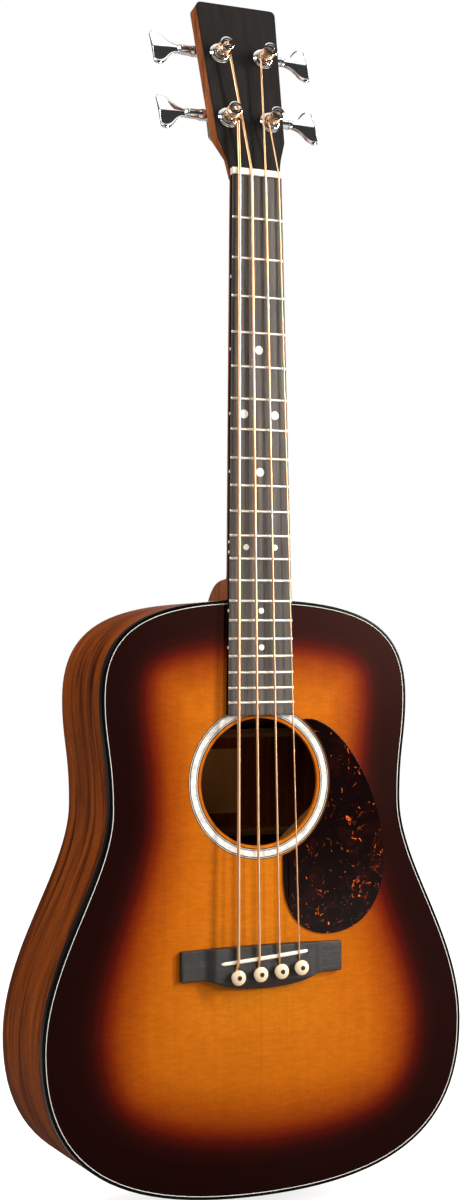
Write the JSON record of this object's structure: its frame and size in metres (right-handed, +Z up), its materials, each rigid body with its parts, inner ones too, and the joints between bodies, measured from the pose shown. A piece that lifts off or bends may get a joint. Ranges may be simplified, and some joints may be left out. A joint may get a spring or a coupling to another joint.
{
  "type": "acoustic bass guitar",
  "caption": "Short-scale acoustic bass guitar: waisted hollow body with round soundhole and pickguard, pin bridge, fretted neck, and a tilted headstock with geared tuners that turn.",
  "frame": {"origin": "where a hanger's yoke holds the guitar: on the centre line, just below the nut, behind the strings", "axes": "+Z up the neck from the body towards the headstock, -Y out of the soundboard towards the player's front, +X towards the thinnest string"},
  "size_m": [0.3568, 0.1219, 0.9629],
  "materials": {
    "sunburst_top": "gloss sunburst lacquer over spruce",
    "rosette": "white pearl",
    "binding": "gloss black",
    "purfling": "white",
    "back_and_ribs": "satin lacquer over ribboned reddish-brown wood",
    "inner_wood": "bare spruce",
    "neck_wood": "satin reddish brown",
    "dark_wood": "oiled black wood",
    "ivory": "ivory",
    "pickguard": "gloss dark tortoise",
    "black_plastic": "gloss black",
    "rod_steel": "plain steel",
    "head_veneer": "satin black",
    "chrome": "polished chrome",
    "bronze_string": "wound phosphor bronze"
  },
  "bodies": {
    "guitar": {"soundboard": "sunburst_top", "rosette": "rosette", "top_binding": "binding", "top_purfling": "purfling", "back_plate": "back_and_ribs", "rib_bass": "back_and_ribs", "rib_treble": "back_and_ribs", "top_lining_bass": "inner_wood", "top_lining_treble": "inner_wood", "back_lining_bass": "inner_wood", "back_lining_treble": "inner_wood", "neck_block": "neck_wood", "tail_block": "neck_wood", "x_brace_bass": "inner_wood", "x_brace_treble": "inner_wood", "upper_brace": "inner_wood", "tone_bar_upper": "inner_wood", "tone_bar_lower": "inner_wood", "bridge_plate": "neck_wood", "back_brace_1": "inner_wood", "back_brace_2": "inner_wood", "back_brace_3": "inner_wood", "back_brace_4": "inner_wood", "bridge": "dark_wood", "saddle": "ivory", "pickguard": "pickguard", "end_pin": "black_plastic", "neck": "neck_wood", "truss_rod": "rod_steel", "fingerboard": "dark_wood", "nut": "ivory", "head_veneer": "head_veneer", "bridge_pin_e": "ivory", "tuner_bushing_e": "chrome", "tuner_housing_e": "chrome", "string_e": "bronze_string", "bridge_pin_a": "ivory", "tuner_bushing_a": "chrome", "tuner_housing_a": "chrome", "string_a": "bronze_string", "bridge_pin_d": "ivory", "tuner_bushing_d": "chrome", "tuner_housing_d": "chrome", "string_d": "bronze_string", "bridge_pin_g": "ivory", "tuner_bushing_g": "chrome", "tuner_housing_g": "chrome", "string_g": "bronze_string"},
    "key_e": {"tuner_key_e": "chrome"},
    "post_e": {"tuner_post_e": "chrome", "string_turns_e": "bronze_string"},
    "key_a": {"tuner_key_a": "chrome"},
    "post_a": {"tuner_post_a": "chrome", "string_turns_a": "bronze_string"},
    "key_d": {"tuner_key_d": "chrome"},
    "post_d": {"tuner_post_d": "chrome", "string_turns_d": "bronze_string"},
    "key_g": {"tuner_key_g": "chrome"},
    "post_g": {"tuner_post_g": "chrome", "string_turns_g": "bronze_string"}
  },
  "joints": [
    {"name": "key_turn_e", "type": "hinge", "parent": "guitar", "child": "key_e", "pos_m": [-0.046, 0.0247, 0.04091], "axis": [-1, 0, 0], "continuous": true},
    {"name": "post_turn_e", "type": "hinge", "parent": "guitar", "child": "post_e", "pos_m": [-0.0184, 0.00279, 0.0345], "axis": [0, -0.9681, 0.2507], "continuous": true},
    {"name": "key_turn_a", "type": "hinge", "parent": "guitar", "child": "key_a", "pos_m": [-0.046, 0.03924, 0.09706], "axis": [-1, 0, 0], "continuous": true},
    {"name": "post_turn_a", "type": "hinge", "parent": "guitar", "child": "post_a", "pos_m": [-0.0191, 0.01733, 0.09065], "axis": [0, -0.9681, 0.2507], "continuous": true},
    {"name": "key_turn_d", "type": "hinge", "parent": "guitar", "child": "key_d", "pos_m": [0.046, 0.03924, 0.09706], "axis": [1, 0, 0], "continuous": true},
    {"name": "post_turn_d", "type": "hinge", "parent": "guitar", "child": "post_d", "pos_m": [0.0191, 0.01733, 0.09065], "axis": [0, -0.9681, 0.2507], "continuous": true},
    {"name": "key_turn_g", "type": "hinge", "parent": "guitar", "child": "key_g", "pos_m": [0.046, 0.0247, 0.04091], "axis": [1, 0, 0], "continuous": true},
    {"name": "post_turn_g", "type": "hinge", "parent": "guitar", "child": "post_g", "pos_m": [0.0184, 0.00279, 0.0345], "axis": [0, -0.9681, 0.2507], "continuous": true}
  ],
  "couplings": [
    {"joint": "post_turn_e", "follows": "key_turn_e", "ratio": 0.05},
    {"joint": "post_turn_a", "follows": "key_turn_a", "ratio": 0.05},
    {"joint": "post_turn_d", "follows": "key_turn_d", "ratio": -0.05},
    {"joint": "post_turn_g", "follows": "key_turn_g", "ratio": -0.05}
  ]
}
